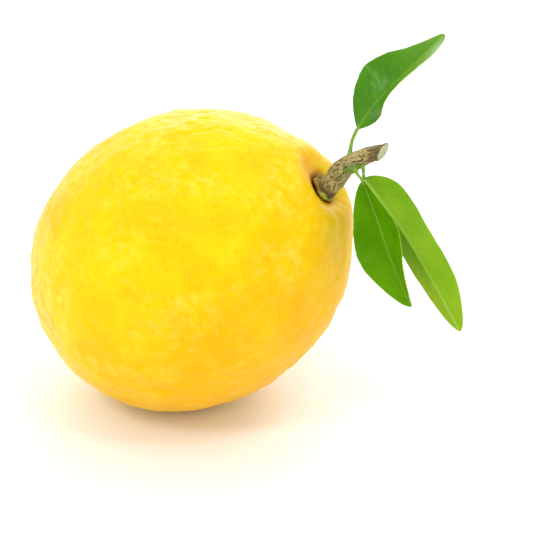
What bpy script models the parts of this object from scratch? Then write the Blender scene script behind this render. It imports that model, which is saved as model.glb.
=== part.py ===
"""A whole lemon at rest on a small flat spot, with its calyx, its twig and three leaves.

Frame: metres, +Z up. The origin is the centre of the flat spot under the fruit. The fruit's
long axis lies in the XZ plane, and its stem end points to +X and up. Lengths below are in
millimetres, and places are measured from the middle of the fruit unless they say otherwise.
"""
import math

import bmesh
import bpy
from mathutils import Vector

MM = 0.001

# The fruit: a turned body, blunt at the stem end, with a nipple at the other end.
FRUIT_RADIUS = 33.0
STEM_HALF_LENGTH = 40.1
TIP_HALF_LENGTH = 35.1
FULLNESS = 2.06             # exponent of the outline: 2 is an ellipse, more is squarer
TILT = math.radians(35.0)   # how far the stem end is raised
COLLAR_HEIGHT, COLLAR_ANGLE, COLLAR_WIDTH = 1.5, 0.28, 0.16
PIT_DEPTH, PIT_WIDTH = 2.3, 0.15
NIPPLE_HEIGHT, NIPPLE_WIDTH = 3.2, 0.21
LOBE_HEIGHT = 0.55          # the soft ribs that run into the neck
REST_DEPTH = 1.2            # how far the flat spot is pressed into the fruit
RINGS, SEGMENTS = 38, 60

# The calyx: a lobed button that sits in the pit, and carries the twig.
CALYX_RADIUS, CALYX_TOP, CALYX_BOTTOM = 3.5, 0.5, 1.1
CALYX_LOBES, CALYX_LOBE_DEPTH = 5, 0.12
CALYX_PLACE = 39.5          # along the fruit's axis

# The twig: its middle line, its radius at each of those points, and its two cuts. The lower
# one is square to the fruit's axis, just above the calyx, and the upper one is slanted.
TWIG_POINTS = [(33.0, -0.1, 22.1), (34.6, -0.6, 24.2), (37.1, -0.9, 27.7), (40.7, -1.2, 30.5),
               (43.6, -1.7, 32.1), (48.3, -2.4, 33.8)]
TWIG_RADII = [2.35, 2.35, 2.15, 1.75, 1.65, 1.8]
TWIG_BASE_PLACE = 40.4      # along the fruit's axis
TWIG_END_POINT, TWIG_END_NORMAL = (45.5, -2.1, 32.8), (0.88, -0.45, -0.18)

# The green side shoot under the twig's bend, and the three leaf stalks.
SHOOT_POINTS = [(38.2, -3.8, 28.5), (39.4, -4.2, 29.0), (40.5, -4.2, 29.4), (41.6, -3.8, 30.0)]
SHOOT_RADII = [0.4, 0.7, 0.7, 0.55]
STALK_RADII = [0.5, 0.42, 0.5]
STALKS = {
    "stalk_upper": [(38.3, -0.1, 31.9), (38.3, 1.3, 33.4), (38.8, 2.9, 35.3)],
    "stalk_front": [(41.2, -5.2, 28.6), (41.8, -5.6, 28.2), (42.3, -6.0, 27.8)],
    "stalk_back": [(41.9, -2.7, 28.6), (41.8, -2.1, 27.5), (41.8, -1.7, 26.5)],
}

# The leaves: four control points of the midrib, the half width, the powers that give the
# outline its base and its tip, the way the upper face looks at the base and at the tip, and
# for each half how many degrees it is folded up at the base, the middle and the tip.
LEAF_THICKNESS = 0.5
LEAF_LEAST_HALF_WIDTH = 0.35
LEAVES = {
    "leaf_upper": {
        "midrib": [(39.0, 3.1, 35.4), (41.8, 8.9, 41.6), (45.0, 5.4, 43.6), (53.3, 19.6, 52.9)],
        "half_width": 7.8, "powers": (0.87, 0.84), "faces": ((-0.35, -0.48, 0.81), (-0.25, -0.75, 0.62)),
        "folds": ((-14.0, 23.0, -17.0), (-20.0, 47.0, 18.0)),
    },
    "leaf_front": {
        "midrib": [(42.7, -6.0, 27.6), (50.6, -12.2, 14.5), (45.4, -9.6, 22.4), (55.0, -10.5, 2.3)],
        "half_width": 7.4, "powers": (0.58, 0.49), "faces": ((-0.08, -0.97, 0.25), (-0.52, -0.84, 0.14)),
        "folds": ((59.0, 34.0, 45.0), (30.0, 57.0, 11.0)),
    },
    "leaf_back": {
        "midrib": [(41.7, -1.4, 26.2), (50.7, -1.5, 16.8), (55.2, -1.5, 8.6), (63.5, 2.1, -8.4)],
        "half_width": 7.3, "powers": (0.54, 0.76), "faces": ((0.25, 0.97, 0.07), (0.10, 0.96, -0.25)),
        "folds": ((22.0, 39.0, 23.0), (22.0, 71.0, -15.0)),
    },
}
LEAF_STEPS_ALONG, LEAF_STEPS_ACROSS = 20, 8


def fruit_outline(angle):
    """Distance along the axis and out from it, at an angle from the stem end (0 to pi)."""
    c, s = math.cos(angle), math.sin(angle)
    reach = (abs(c) ** FULLNESS + abs(s) ** FULLNESS) ** (-1.0 / FULLNESS)
    half_length = STEM_HALF_LENGTH if c > 0 else TIP_HALF_LENGTH
    along = half_length * reach * c
    along += COLLAR_HEIGHT * math.exp(-((angle - COLLAR_ANGLE) / COLLAR_WIDTH) ** 2)
    along -= PIT_DEPTH * math.exp(-(angle / PIT_WIDTH) ** 2)
    along -= NIPPLE_HEIGHT * math.exp(-((math.pi - angle) / NIPPLE_WIDTH) ** 3)
    return along, FRUIT_RADIUS * reach * s


def lobes(angle, turn):
    """Height of the soft ribs: strongest on the shoulder, gone at the pit and the middle."""
    strength = math.exp(-((angle - 0.5) / 0.3) ** 2)
    wave = math.sin(4 * turn + 0.6) + 0.6 * math.sin(7 * turn + 2.1)
    return LOBE_HEIGHT * strength * wave


def lowest_point():
    """Where the tilted fruit would touch a floor: its X and its Z from the fruit's middle."""
    steps = 720
    places = []
    for i in range(steps):
        along, out = fruit_outline(math.pi * (i + 0.5) / steps)
        x = along * math.cos(TILT) + out * math.sin(TILT)
        z = along * math.sin(TILT) - out * math.cos(TILT)
        places.append((z, x))
    z, x = min(places)
    return x, z


def clear_scene():
    for obj in list(bpy.data.objects):
        bpy.data.objects.remove(obj, do_unlink=True)


def new_collection(name):
    collection = bpy.data.collections.new(name)
    bpy.context.scene.collection.children.link(collection)
    return collection


def make_material(name, colour, roughness):
    material = bpy.data.materials.new(name)
    material.use_nodes = True
    shader = material.node_tree.nodes["Principled BSDF"]
    shader.inputs["Base Color"].default_value = (*colour, 1.0)
    shader.inputs["Roughness"].default_value = roughness
    shader.inputs["Metallic"].default_value = 0.0
    return material


def add_object(name, data, collection, parent, material):
    obj = bpy.data.objects.new(name, data)
    collection.objects.link(obj)
    obj.parent = parent
    if material:
        obj.data.materials.append(material)
    return obj


def add_empty(name, collection, parent, location, turn_about_y=0.0):
    empty = bpy.data.objects.new(name, None)
    empty.location = location
    empty.rotation_euler = (0.0, turn_about_y, 0.0)
    empty.parent = parent
    collection.objects.link(empty)
    return empty


def reshaped_sphere(name, segments, rings, place):
    """A UV sphere whose points are moved by place(angle from its top, angle around it)."""
    bm = bmesh.new()
    bmesh.ops.create_uvsphere(bm, u_segments=segments, v_segments=rings, radius=1.0)
    for vert in bm.verts:
        angle = math.acos(max(-1.0, min(1.0, vert.co.z)))
        turn = math.atan2(vert.co.y, vert.co.x)
        vert.co = Vector(place(angle, turn)) * MM
    bmesh.ops.recalc_face_normals(bm, faces=bm.faces)
    mesh = bpy.data.meshes.new(name)
    bm.to_mesh(mesh)
    bm.free()
    mesh.shade_smooth()
    return mesh


def fruit_place(angle, turn):
    """Rings are drawn closer together at both ends, where the shape changes fastest."""
    angle -= 0.35 / 2 * math.sin(2 * angle)
    along, out = fruit_outline(angle)
    out += lobes(angle, turn) * math.sin(angle)
    return out * math.cos(turn), out * math.sin(turn), along


def make_fruit(collection, cutters, parent, material):
    mesh = reshaped_sphere("fruit", SEGMENTS, RINGS, fruit_place)
    fruit = add_object("fruit", mesh, collection, parent, material)
    floor_size = 60.0 * MM
    bm = bmesh.new()
    bmesh.ops.create_cube(bm, size=floor_size)
    cutter_mesh = bpy.data.meshes.new("floor_cutter")
    bm.to_mesh(cutter_mesh)
    bm.free()
    cutter = add_object("floor_cutter", cutter_mesh, cutters, None, None)
    cutter.location = (0.0, 0.0, -floor_size / 2)
    cutter.hide_render = True
    cutter.display_type = "WIRE"
    cut = fruit.modifiers.new("flat_spot", "BOOLEAN")
    cut.operation = "DIFFERENCE"
    cut.solver = "EXACT"
    cut.object = cutter
    return fruit


def calyx_place(angle, turn):
    lobe = 1.0 - CALYX_LOBE_DEPTH * (0.5 + 0.5 * math.cos(CALYX_LOBES * turn))
    out = CALYX_RADIUS * lobe * math.sin(angle)
    height = CALYX_TOP if math.cos(angle) > 0 else CALYX_BOTTOM
    return out * math.cos(turn), out * math.sin(turn), CALYX_PLACE + height * math.cos(angle)


def smooth_path(points, steps_per_span=4):
    """Points along a Catmull-Rom curve through the given ones."""
    ends = [Vector(points[0]) * 2 - Vector(points[1])], [Vector(points[-1]) * 2 - Vector(points[-2])]
    p = ends[0] + [Vector(q) for q in points] + ends[1]
    path = []
    for i in range(1, len(p) - 2):
        for step in range(steps_per_span):
            t = step / steps_per_span
            path.append(0.5 * (2 * p[i] + (p[i + 1] - p[i - 1]) * t
                               + (2 * p[i - 1] - 5 * p[i] + 4 * p[i + 1] - p[i + 2]) * t ** 2
                               + (3 * p[i] - 3 * p[i + 1] + p[i + 2] - p[i - 1]) * t ** 3))
    return path + [p[-2]]


def make_tube(name, points, radii, collection, parent, material):
    """A round bar with filled ends along a smooth curve, with a radius for each given point."""
    steps = 4
    path = smooth_path(points, steps)
    curve = bpy.data.curves.new(name, "CURVE")
    curve.dimensions = "3D"
    curve.bevel_depth = MM
    curve.bevel_resolution = 2
    curve.use_fill_caps = True
    spline = curve.splines.new("POLY")
    spline.points.add(len(path) - 1)
    for i, co in enumerate(path):
        low = min(i // steps, len(radii) - 2)
        t = i / steps - low
        spline.points[i].co = (*(co * MM), 1.0)
        spline.points[i].radius = radii[low] * (1 - t) + radii[low + 1] * t
    return add_object(name, curve, collection, parent, material)


def slice_off(bm, point, normal):
    """Cut away what lies beyond a plane, and close the cut."""
    cut = bmesh.ops.bisect_plane(bm, geom=bm.verts[:] + bm.edges[:] + bm.faces[:], dist=1e-7,
                                 plane_co=point * MM, plane_no=normal, clear_outer=True)
    rim = [item for item in cut["geom_cut"] if isinstance(item, bmesh.types.BMEdge)]
    bmesh.ops.holes_fill(bm, edges=rim, sides=0)


def make_twig(collection, parent, material):
    """The woody twig: a tube turned into a mesh, then cut off at both ends."""
    tube = make_tube("twig_tube", TWIG_POINTS, TWIG_RADII, collection, parent, None)
    tube.data.bevel_resolution = 4
    graph = bpy.context.evaluated_depsgraph_get()
    mesh = bpy.data.meshes.new_from_object(tube.evaluated_get(graph))
    bpy.data.objects.remove(tube, do_unlink=True)
    bm = bmesh.new()
    bm.from_mesh(mesh)
    bmesh.ops.remove_doubles(bm, verts=bm.verts, dist=0.00001)
    fruit_axis = Vector((math.cos(TILT), 0.0, math.sin(TILT)))
    slice_off(bm, fruit_axis * TWIG_BASE_PLACE, -fruit_axis)
    slice_off(bm, Vector(TWIG_END_POINT), Vector(TWIG_END_NORMAL))
    bmesh.ops.recalc_face_normals(bm, faces=bm.faces)
    bm.to_mesh(mesh)
    bm.free()
    mesh.shade_smooth()
    mesh.set_sharp_from_angle(angle=math.radians(40.0))
    mesh.name = "twig"
    return add_object("twig", mesh, collection, parent, material)


def half_width(spec, s):
    """Half the blade's width at s from 0 at its base to 1 at its tip."""
    base_power, tip_power = spec["powers"]
    widest = base_power / (base_power + tip_power)
    peak = widest ** base_power * (1.0 - widest) ** tip_power
    wide = spec["half_width"] * s ** base_power * (1.0 - s) ** tip_power / peak
    return max(wide, LEAF_LEAST_HALF_WIDTH)


def bezier(points, s):
    """Place and direction on a cubic curve."""
    a, b, c, d = (Vector(p) for p in points)
    r = 1.0 - s
    place = a * r ** 3 + b * 3 * r * r * s + c * 3 * r * s * s + d * s ** 3
    direction = (b - a) * 3 * r * r + (c - b) * 6 * r * s + (d - c) * 3 * s * s
    return place, direction.normalized()


def through_three(values, s):
    """The smooth curve through values at the base, the middle and the tip."""
    base, middle, tip = values
    return base * (1.0 - s) * (1.0 - 2.0 * s) + middle * 4.0 * s * (1.0 - s) + tip * s * (2.0 * s - 1.0)


def blade_point(spec, s, v):
    """A point of the blade, at s along it and v from -1 to 1 across it."""
    place, direction = bezier(spec["midrib"], s)
    face = Vector(spec["faces"][0]).lerp(Vector(spec["faces"][1]), s)
    face = (face - direction * face.dot(direction)).normalized()
    side = direction.cross(face)
    fold = math.radians(through_three(spec["folds"][0 if v < 0.0 else 1], s))
    softness = 0.15
    rise = math.sqrt(v * v + softness ** 2) - softness
    reach = half_width(spec, s)
    return place + side * (reach * v * math.cos(fold)) + face * (reach * rise * math.sin(fold))


def make_leaf(name, spec, collection, parent, material):
    """A thin folded blade: a grid, finer at base and tip, laid on the blade and thickened."""
    bm = bmesh.new()
    bmesh.ops.create_grid(bm, x_segments=LEAF_STEPS_ALONG, y_segments=LEAF_STEPS_ACROSS, size=1.0)
    for vert in bm.verts:
        s = 0.5 - 0.5 * math.cos(math.pi * (vert.co.x + 1.0) / 2.0)
        vert.co = blade_point(spec, s, vert.co.y) * MM
    mesh = bpy.data.meshes.new(name)
    bm.to_mesh(mesh)
    bm.free()
    mesh.shade_smooth()
    leaf = add_object(name, mesh, collection, parent, material)
    thick = leaf.modifiers.new("thickness", "SOLIDIFY")
    thick.thickness = LEAF_THICKNESS * MM
    thick.offset = 0.0
    return leaf


def main():
    clear_scene()
    parts = new_collection("lemon")
    cutters = new_collection("cutters")
    peel = make_material("peel", (0.95, 0.72, 0.03), 0.45)
    green_calyx = make_material("calyx_green", (0.30, 0.30, 0.03), 0.7)
    bark = make_material("bark", (0.28, 0.19, 0.07), 0.85)
    shoot_green = make_material("shoot_green", (0.16, 0.30, 0.02), 0.5)
    stalk_green = make_material("stalk_green", (0.35, 0.50, 0.08), 0.5)
    leaf_green = make_material("leaf_green", (0.09, 0.28, 0.01), 0.35)

    touch_x, touch_z = lowest_point()
    middle_place = Vector((-touch_x, 0.0, -touch_z - REST_DEPTH)) * MM
    middle = add_empty("fruit_middle", parts, None, middle_place)
    axis = add_empty("fruit_axis", parts, middle, (0.0, 0.0, 0.0), math.pi / 2 - TILT)

    make_fruit(parts, cutters, axis, peel)
    calyx = reshaped_sphere("calyx", 30, 10, calyx_place)
    add_object("calyx", calyx, parts, axis, green_calyx)
    bpy.context.view_layer.update()
    make_twig(parts, middle, bark)
    make_tube("side_shoot", SHOOT_POINTS, SHOOT_RADII, parts, middle, shoot_green)
    for name, points in STALKS.items():
        make_tube(name, points, STALK_RADII, parts, middle, stalk_green)
    for name, spec in LEAVES.items():
        make_leaf(name, spec, parts, middle, leaf_green)


main()
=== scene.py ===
"""The looks of the lemon: a fine pored rind, ridged bark, veined leaves, soft light.

Every shape is worked out in millimetres from the middle of the fruit, in the CAD's frame,
and then moved to the fruit's real place. A piece stands for the CAD node of the same name.
"""
import math

import bmesh
import bpy
import numpy as np
from mathutils import Matrix, Vector, noise


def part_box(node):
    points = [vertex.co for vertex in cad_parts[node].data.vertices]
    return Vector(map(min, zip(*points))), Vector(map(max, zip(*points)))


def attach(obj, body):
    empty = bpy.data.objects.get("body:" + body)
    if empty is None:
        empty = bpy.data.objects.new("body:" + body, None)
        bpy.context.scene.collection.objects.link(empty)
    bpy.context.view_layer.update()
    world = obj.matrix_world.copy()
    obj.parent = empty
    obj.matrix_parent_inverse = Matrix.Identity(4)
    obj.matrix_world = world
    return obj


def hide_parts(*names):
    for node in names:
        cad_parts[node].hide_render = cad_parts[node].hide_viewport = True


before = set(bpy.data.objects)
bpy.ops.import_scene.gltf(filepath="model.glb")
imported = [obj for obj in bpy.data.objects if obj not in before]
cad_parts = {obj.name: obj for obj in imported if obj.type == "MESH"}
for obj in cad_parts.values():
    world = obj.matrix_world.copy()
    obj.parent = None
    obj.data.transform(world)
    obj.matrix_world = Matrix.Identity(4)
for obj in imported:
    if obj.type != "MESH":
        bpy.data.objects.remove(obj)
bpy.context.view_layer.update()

MM = 0.001

# The fruit's design sizes, as in the CAD. Lengths are in millimetres. An angle on the fruit is
# in radians from its stem end, and a turn goes round its long axis, from its underside.
FRUIT_RADIUS = 33.0
STEM_HALF_LENGTH = 40.1
TIP_HALF_LENGTH = 35.1
FULLNESS = 2.06             # 2 is an ellipse; more is squarer
TILT = math.radians(35.0)
COLLAR_HEIGHT, COLLAR_ANGLE, COLLAR_WIDTH = 1.5, 0.28, 0.16
PIT_DEPTH, PIT_WIDTH = 2.3, 0.15
NIPPLE_HEIGHT, NIPPLE_WIDTH = 3.2, 0.21
LOBE_HEIGHT, LOBE_ANGLE, LOBE_WIDTH = 0.55, 0.5, 0.3
CALYX_PLACE = 39.5          # along the axis

# Paths of the twig, shoot and stalks, and the radius at each of their points.
TWIG_POINTS = [(33.0, -0.1, 22.1), (34.6, -0.6, 24.2), (37.1, -0.9, 27.7), (40.7, -1.2, 30.5),
               (43.6, -1.7, 32.1), (48.3, -2.4, 33.8)]
TWIG_RADII = [2.25, 2.3, 2.15, 1.75, 1.6, 1.6]
TWIG_END_POINT, TWIG_END_NORMAL = (45.7, -2.1, 32.9), (0.88, -0.42, -0.25)

SHOOT_POINTS = [(37.8, -3.2, 28.2), (38.6, -3.8, 28.5), (39.6, -4.1, 28.9), (40.4, -4.0, 29.3),
                (41.1, -3.4, 29.9)]
SHOOT_RADII = [0.3, 0.6, 0.72, 0.66, 0.3]
STALK_RADII = [0.56, 0.36, 0.28, 0.34, 0.22]
STALKS = {
    "stalk_upper": ([(38.4, -0.6, 30.9), (38.3, 0.0, 32.0), (38.3, 1.3, 33.4), (38.8, 2.8, 35.2),
                     (39.3, 3.7, 36.1)], [0.66, 0.44, 0.36, 0.4, 0.3]),
    "stalk_front": ([(40.4, -4.2, 29.2), (41.2, -5.1, 28.6), (41.8, -5.6, 28.2), (42.4, -6.0, 27.8),
                     (43.2, -6.6, 26.7)], STALK_RADII),
    "stalk_back": ([(41.8, -3.4, 29.8), (41.9, -2.7, 28.6), (41.8, -2.1, 27.5), (41.8, -1.6, 26.5),
                    (42.3, -1.4, 25.5)], STALK_RADII),
}

# A leaf's midrib is a cubic curve from base to tip. The powers say how full it is towards each
# end, and faces are the ways that it faces there. Folds are the degrees that each half rises, at
# base, middle and tip. veins is how many side veins each half has, and midrib_light how pale the
# midrib is on top. Then comes the half (-1 or 1) that is painted apart as light and shade, how
# strongly, and the places along the leaf where this is nothing and where it is full: painted shade
# from the front leaf on the back leaf, and a half painted paler on the upper leaf. blunt rounds the tip.
LEAVES = {
    "leaf_upper": {
        "midrib": [(39.0, 3.1, 35.4), (41.8, 8.9, 41.6), (45.0, 5.4, 43.6), (53.3, 19.6, 52.9)],
        "half_width": 7.8, "powers": (0.87, 0.84), "faces": ((-0.35, -0.48, 0.81), (-0.25, -0.75, 0.62)),
        "folds": ((-14.0, 23.0, -17.0), (-20.0, 47.0, 18.0)), "veins": 9,
        "midrib_light": 0.22, "light_and_shade_half": (1.0, 0.7, 0.35, 0.75), "blunt": 1.0,
    },
    "leaf_front": {
        "midrib": [(42.7, -6.0, 27.6), (50.6, -12.2, 14.5), (45.4, -9.6, 22.4), (55.0, -10.5, 2.3)],
        "half_width": 7.4, "powers": (0.58, 0.49), "faces": ((-0.08, -0.97, 0.25), (-0.52, -0.84, 0.14)),
        "folds": ((59.0, 34.0, 45.0), (30.0, 57.0, 11.0)), "veins": 9,
        "midrib_light": 0.5, "light_and_shade_half": (1.0, 0.0, 0.5, 1.0), "blunt": 0.5,
    },
    "leaf_back": {
        "midrib": [(41.7, -1.4, 26.2), (50.7, -1.5, 16.8), (55.2, -1.5, 8.6), (63.5, 2.1, -8.4)],
        "half_width": 7.3, "powers": (0.54, 0.76), "faces": ((0.25, 0.97, 0.07), (0.10, 0.96, -0.25)),
        "folds": ((22.0, 39.0, 23.0), (22.0, 71.0, -15.0)), "veins": 11,
        "midrib_light": 0.5, "light_and_shade_half": (-1.0, 0.85, 0.85, 0.35), "blunt": 0.8,
    },
}

# Leaf colours, as linear red, green and blue, then roughness, specular level and its tint.
UNDERSIDE, UNDERSIDE_LIGHT = (0.18, 0.38, 0.01), (0.24, 0.44, 0.02)
LEAF_LOOKS = {
    "leaf_upper": {
        "top": (0.042, 0.182, 0.0003), "top_light": (0.068, 0.235, 0.0006),
        "under": UNDERSIDE, "under_light": UNDERSIDE_LIGHT,
        "tip": (0.12, 0.30, 0.0007), "light_and_shade_colour": (0.15, 0.34, 0.0012),
        "roughness": 0.27, "shine": 0.31, "shine_tint": (0.6, 0.8, 0.55),
    },
    "leaf_front": {
        "top": (0.075, 0.24, 0.0003), "top_light": (0.11, 0.30, 0.0006),
        "under": UNDERSIDE, "under_light": UNDERSIDE_LIGHT,
        "tip": (0.13, 0.32, 0.0006), "light_and_shade_colour": (0.10, 0.28, 0.001),
        "roughness": 0.42, "shine": 0.1, "shine_tint": (0.6, 1.0, 0.25),
    },
    "leaf_back": {
        "top": (0.06, 0.23, 0.001), "top_light": (0.10, 0.30, 0.003),
        "under": (0.18, 0.37, 0.010), "under_light": (0.24, 0.42, 0.018),
        "tip": (0.33, 0.50, 0.018), "light_and_shade_colour": (0.055, 0.26, 0.0004),
        "roughness": 0.40, "shine": 0.08, "shine_tint": (0.8, 1.0, 0.4),
    },
}

# ---------------------------------------------------------------- the frame of reference


def near(x, middle, width):
    """One at the middle, fading to nothing away from it."""
    return np.exp(-((x - middle) / width) ** 2)


def fruit_outline(angle):
    """Distance along the axis and out from it, at an angle from the stem end (0 to pi)."""
    c, s = np.cos(angle), np.sin(angle)
    reach = (np.abs(c) ** FULLNESS + np.abs(s) ** FULLNESS) ** (-1.0 / FULLNESS)
    along = np.where(c > 0, STEM_HALF_LENGTH, TIP_HALF_LENGTH) * reach * c
    along = along + COLLAR_HEIGHT * near(angle, COLLAR_ANGLE, COLLAR_WIDTH)
    along = along - PIT_DEPTH * near(angle, 0.0, PIT_WIDTH)
    along = along - NIPPLE_HEIGHT * np.exp(-(np.abs(math.pi - angle) / NIPPLE_WIDTH) ** 3)
    return along, FRUIT_RADIUS * reach * s


def lobes(angle, turn):
    """Soft ribs round the neck of the fruit."""
    wave = np.sin(4 * turn + 0.6) + 0.6 * np.sin(7 * turn + 2.1)
    return LOBE_HEIGHT * near(angle, LOBE_ANGLE, LOBE_WIDTH) * wave


AXIS = np.array([math.cos(TILT), 0.0, math.sin(TILT)])
ACROSS = np.array([math.sin(TILT), 0.0, -math.cos(TILT)])
SIDE = np.array([0.0, 1.0, 0.0])


def round_axis(along, out, turn):
    """Points at a distance along the fruit's axis and out from it, at a turn round it."""
    return (along[:, None] * AXIS + (out * np.cos(turn))[:, None] * ACROSS
            + (out * np.sin(turn))[:, None] * SIDE)


def fruit_middle():
    """The middle of the fruit in the frame, from the CAD fruit's box: its lowest corner in X."""
    angles = np.linspace(0.0, math.pi, 2001)
    along, out = fruit_outline(angles)
    lowest_x = (along * AXIS[0] - out * ACROSS[0]).min()
    low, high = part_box("fruit")
    highest_z = (along * AXIS[2] - out * ACROSS[2]).max()
    return np.array([low[0] / MM - lowest_x, (low[1] + high[1]) / 2 / MM, high[2] / MM - highest_z])


MIDDLE = fruit_middle()

# ---------------------------------------------------------------- small tools


def add_object(name, data):
    obj = bpy.data.objects.new(name, data)
    bpy.context.scene.collection.objects.link(obj)
    return obj


def new_mesh_object(name, verts, faces):
    """A mesh from points in millimetres from the fruit's middle, smooth all over."""
    mesh = bpy.data.meshes.new(name)
    points = (np.asarray(verts, float) + MIDDLE) * MM
    mesh.from_pydata([tuple(p) for p in points], [], faces)
    mesh.validate()
    mesh.update()
    mesh.shade_smooth()
    return add_object(name, mesh)


def get_points(mesh):
    flat = np.empty(len(mesh.vertices) * 3, np.float32)
    mesh.vertices.foreach_get("co", flat)
    return flat.reshape(-1, 3).astype(float)


def set_points(mesh, points):
    mesh.vertices.foreach_set("co", np.asarray(points, np.float32).ravel())
    mesh.update()


def get_normals(mesh):
    flat = np.empty(len(mesh.vertices) * 3, np.float32)
    mesh.vertex_normals.foreach_get("vector", flat)
    return flat.reshape(-1, 3).astype(float)


def add_values(obj, name, values):
    """Stores one number for each point, for the material to read."""
    layer = obj.data.attributes.new(name, "FLOAT", "POINT")
    layer.data.foreach_set("value", np.asarray(values, np.float32).ravel())


def add_vectors(obj, name, values):
    layer = obj.data.attributes.new(name, "FLOAT_VECTOR", "POINT")
    layer.data.foreach_set("vector", np.asarray(values, np.float32).ravel())


def noise_at(points, scale, octaves=3, seed=0.0):
    """Smooth noise from about -1 to 1, at points divided by scale; the seed picks the pattern."""
    shift = Vector((seed, seed * 0.37, -seed * 0.61))
    basis = "PERLIN_ORIGINAL"
    return np.array([noise.fractal(Vector(p) / scale + shift, 0.9, 2.0, octaves, noise_basis=basis)
                     for p in points])


def smooth_step(x, low, high):
    t = np.clip((x - low) / (high - low), 0.0, 1.0)
    return t * t * (3.0 - 2.0 * t)


def smooth_path(points, steps_per_span):
    """Points along a Catmull-Rom curve through the given rows of numbers."""
    p = np.asarray(points, float)
    p = np.vstack([2 * p[0] - p[1], p, 2 * p[-1] - p[-2]])
    path = []
    for i in range(1, len(p) - 2):
        for t in np.arange(steps_per_span) / steps_per_span:
            path.append(0.5 * (2 * p[i] + (p[i + 1] - p[i - 1]) * t
                               + (2 * p[i - 1] - 5 * p[i] + 4 * p[i + 1] - p[i + 2]) * t ** 2
                               + (3 * p[i] - 3 * p[i + 1] + p[i + 2] - p[i - 1]) * t ** 3))
    return np.array(path + [p[-2]])


def frames_along(path):
    """Two directions square to the path at each point, without sudden twist."""
    tangents = np.gradient(path, axis=0)
    tangents /= np.linalg.norm(tangents, axis=1, keepdims=True)
    first = np.cross(tangents[0], (0.0, 1.0, 0.0))
    firsts = []
    for tangent in tangents:
        first = first - tangent * first.dot(tangent)
        first /= np.linalg.norm(first)
        firsts.append(first)
    firsts = np.array(firsts)
    return tangents, firsts, np.cross(tangents, firsts)


def grid_faces(rows, columns, wrap):
    """Quads between neighbouring rows of points; wrap joins the last column to the first."""
    faces = []
    for i in range(rows - 1):
        for j in range(columns if wrap else columns - 1):
            k = (j + 1) % columns
            here, there = i * columns, (i + 1) * columns
            faces.append((here + j, here + k, there + k, there + j))
    return faces


# ---------------------------------------------------------------- materials


def new_material(name):
    material = bpy.data.materials.new(name)
    material.use_nodes = True
    tree = material.node_tree
    return material, tree, tree.nodes["Principled BSDF"]


def node(tree, kind, **settings):
    made = tree.nodes.new(kind)
    for key, value in settings.items():
        setattr(made, key, value)
    return made


def read_values(tree, name):
    """The numbers that add_values stored on the mesh."""
    return node(tree, "ShaderNodeAttribute", attribute_name=name).outputs["Fac"]


def mixed(tree, amount, first, second):
    """A colour mix; each of the three inputs is a socket or a value."""
    mix = node(tree, "ShaderNodeMix", data_type="RGBA")
    for socket, value in ((mix.inputs[0], amount), (mix.inputs[6], first), (mix.inputs[7], second)):
        if hasattr(value, "is_linked"):
            tree.links.new(value, socket)
        else:
            socket.default_value = value if isinstance(value, float) else (*value, 1.0)
    return mix.outputs[2]


def sums(tree, kind, first, second):
    """A Math node; each input is a socket or a number."""
    made = node(tree, "ShaderNodeMath", operation=kind)
    for socket, value in zip(made.inputs, (first, second)):
        if hasattr(value, "is_linked"):
            tree.links.new(value, socket)
        else:
            socket.default_value = value
    return made.outputs[0]


def remapped(tree, value, from_low, from_high, to_low, to_high):
    made = node(tree, "ShaderNodeMapRange")
    tree.links.new(value, made.inputs["Value"])
    for key, number in (("From Min", from_low), ("From Max", from_high), ("To Min", to_low),
                        ("To Max", to_high)):
        made.inputs[key].default_value = number
    return made.outputs["Result"]


def noise_texture(tree, coordinates, scale, detail=3.0, roughness=0.5, distortion=0.0):
    made = node(tree, "ShaderNodeTexNoise")
    tree.links.new(coordinates, made.inputs["Vector"])
    for key, number in (("Scale", scale), ("Detail", detail), ("Roughness", roughness),
                        ("Distortion", distortion)):
        made.inputs[key].default_value = number
    return made.outputs["Fac"]


def set_subsurface(shader, weight, radius, scale):
    shader.inputs["Subsurface Weight"].default_value = weight
    shader.inputs["Subsurface Radius"].default_value = radius
    shader.inputs["Subsurface Scale"].default_value = scale


def bumped(tree, height, strength, distance, normal=None):
    made = node(tree, "ShaderNodeBump")
    made.inputs["Strength"].default_value = strength
    made.inputs["Distance"].default_value = distance
    tree.links.new(height, made.inputs["Height"])
    if normal:
        tree.links.new(normal, made.inputs["Normal"])
    return made.outputs["Normal"]


# Noise scales are waves per metre. Colours are linear red, green and blue.
PEEL_BROAD_SCALE, PEEL_PATCH_SCALE, PEEL_SPECKLE_SCALE = 90.0, 70.0, 430.0
PEEL_DIMPLE_SCALE, PEEL_GRAIN_SCALE = 1150.0, 420.0
PEEL_DEEP, PEEL_BRIGHT, PEEL_PALE_AND_GLINT = (0.88, 0.57, 0.001), (0.89, 0.67, 0.003), (0.90, 0.76, 0.085)
PEEL_ORANGE_AND_SHADE, PEEL_PORE, PORE_TINT = (0.88, 0.40, 0.0003), (0.80, 0.43, 0.0003), 0.38
# The brown scar on the button, and round the calyx a dark ring that is partly a brown line and partly
# painted crevice shade.
SCAR_AND_SHADE_EDGE, SCAR_AND_SHADE_MIDDLE = (0.62, 0.22, 0.002), (0.36, 0.12, 0.006)
PEEL_ROUGHNESS, WARM_ROUGHNESS = (0.22, 0.38), 0.15


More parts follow.
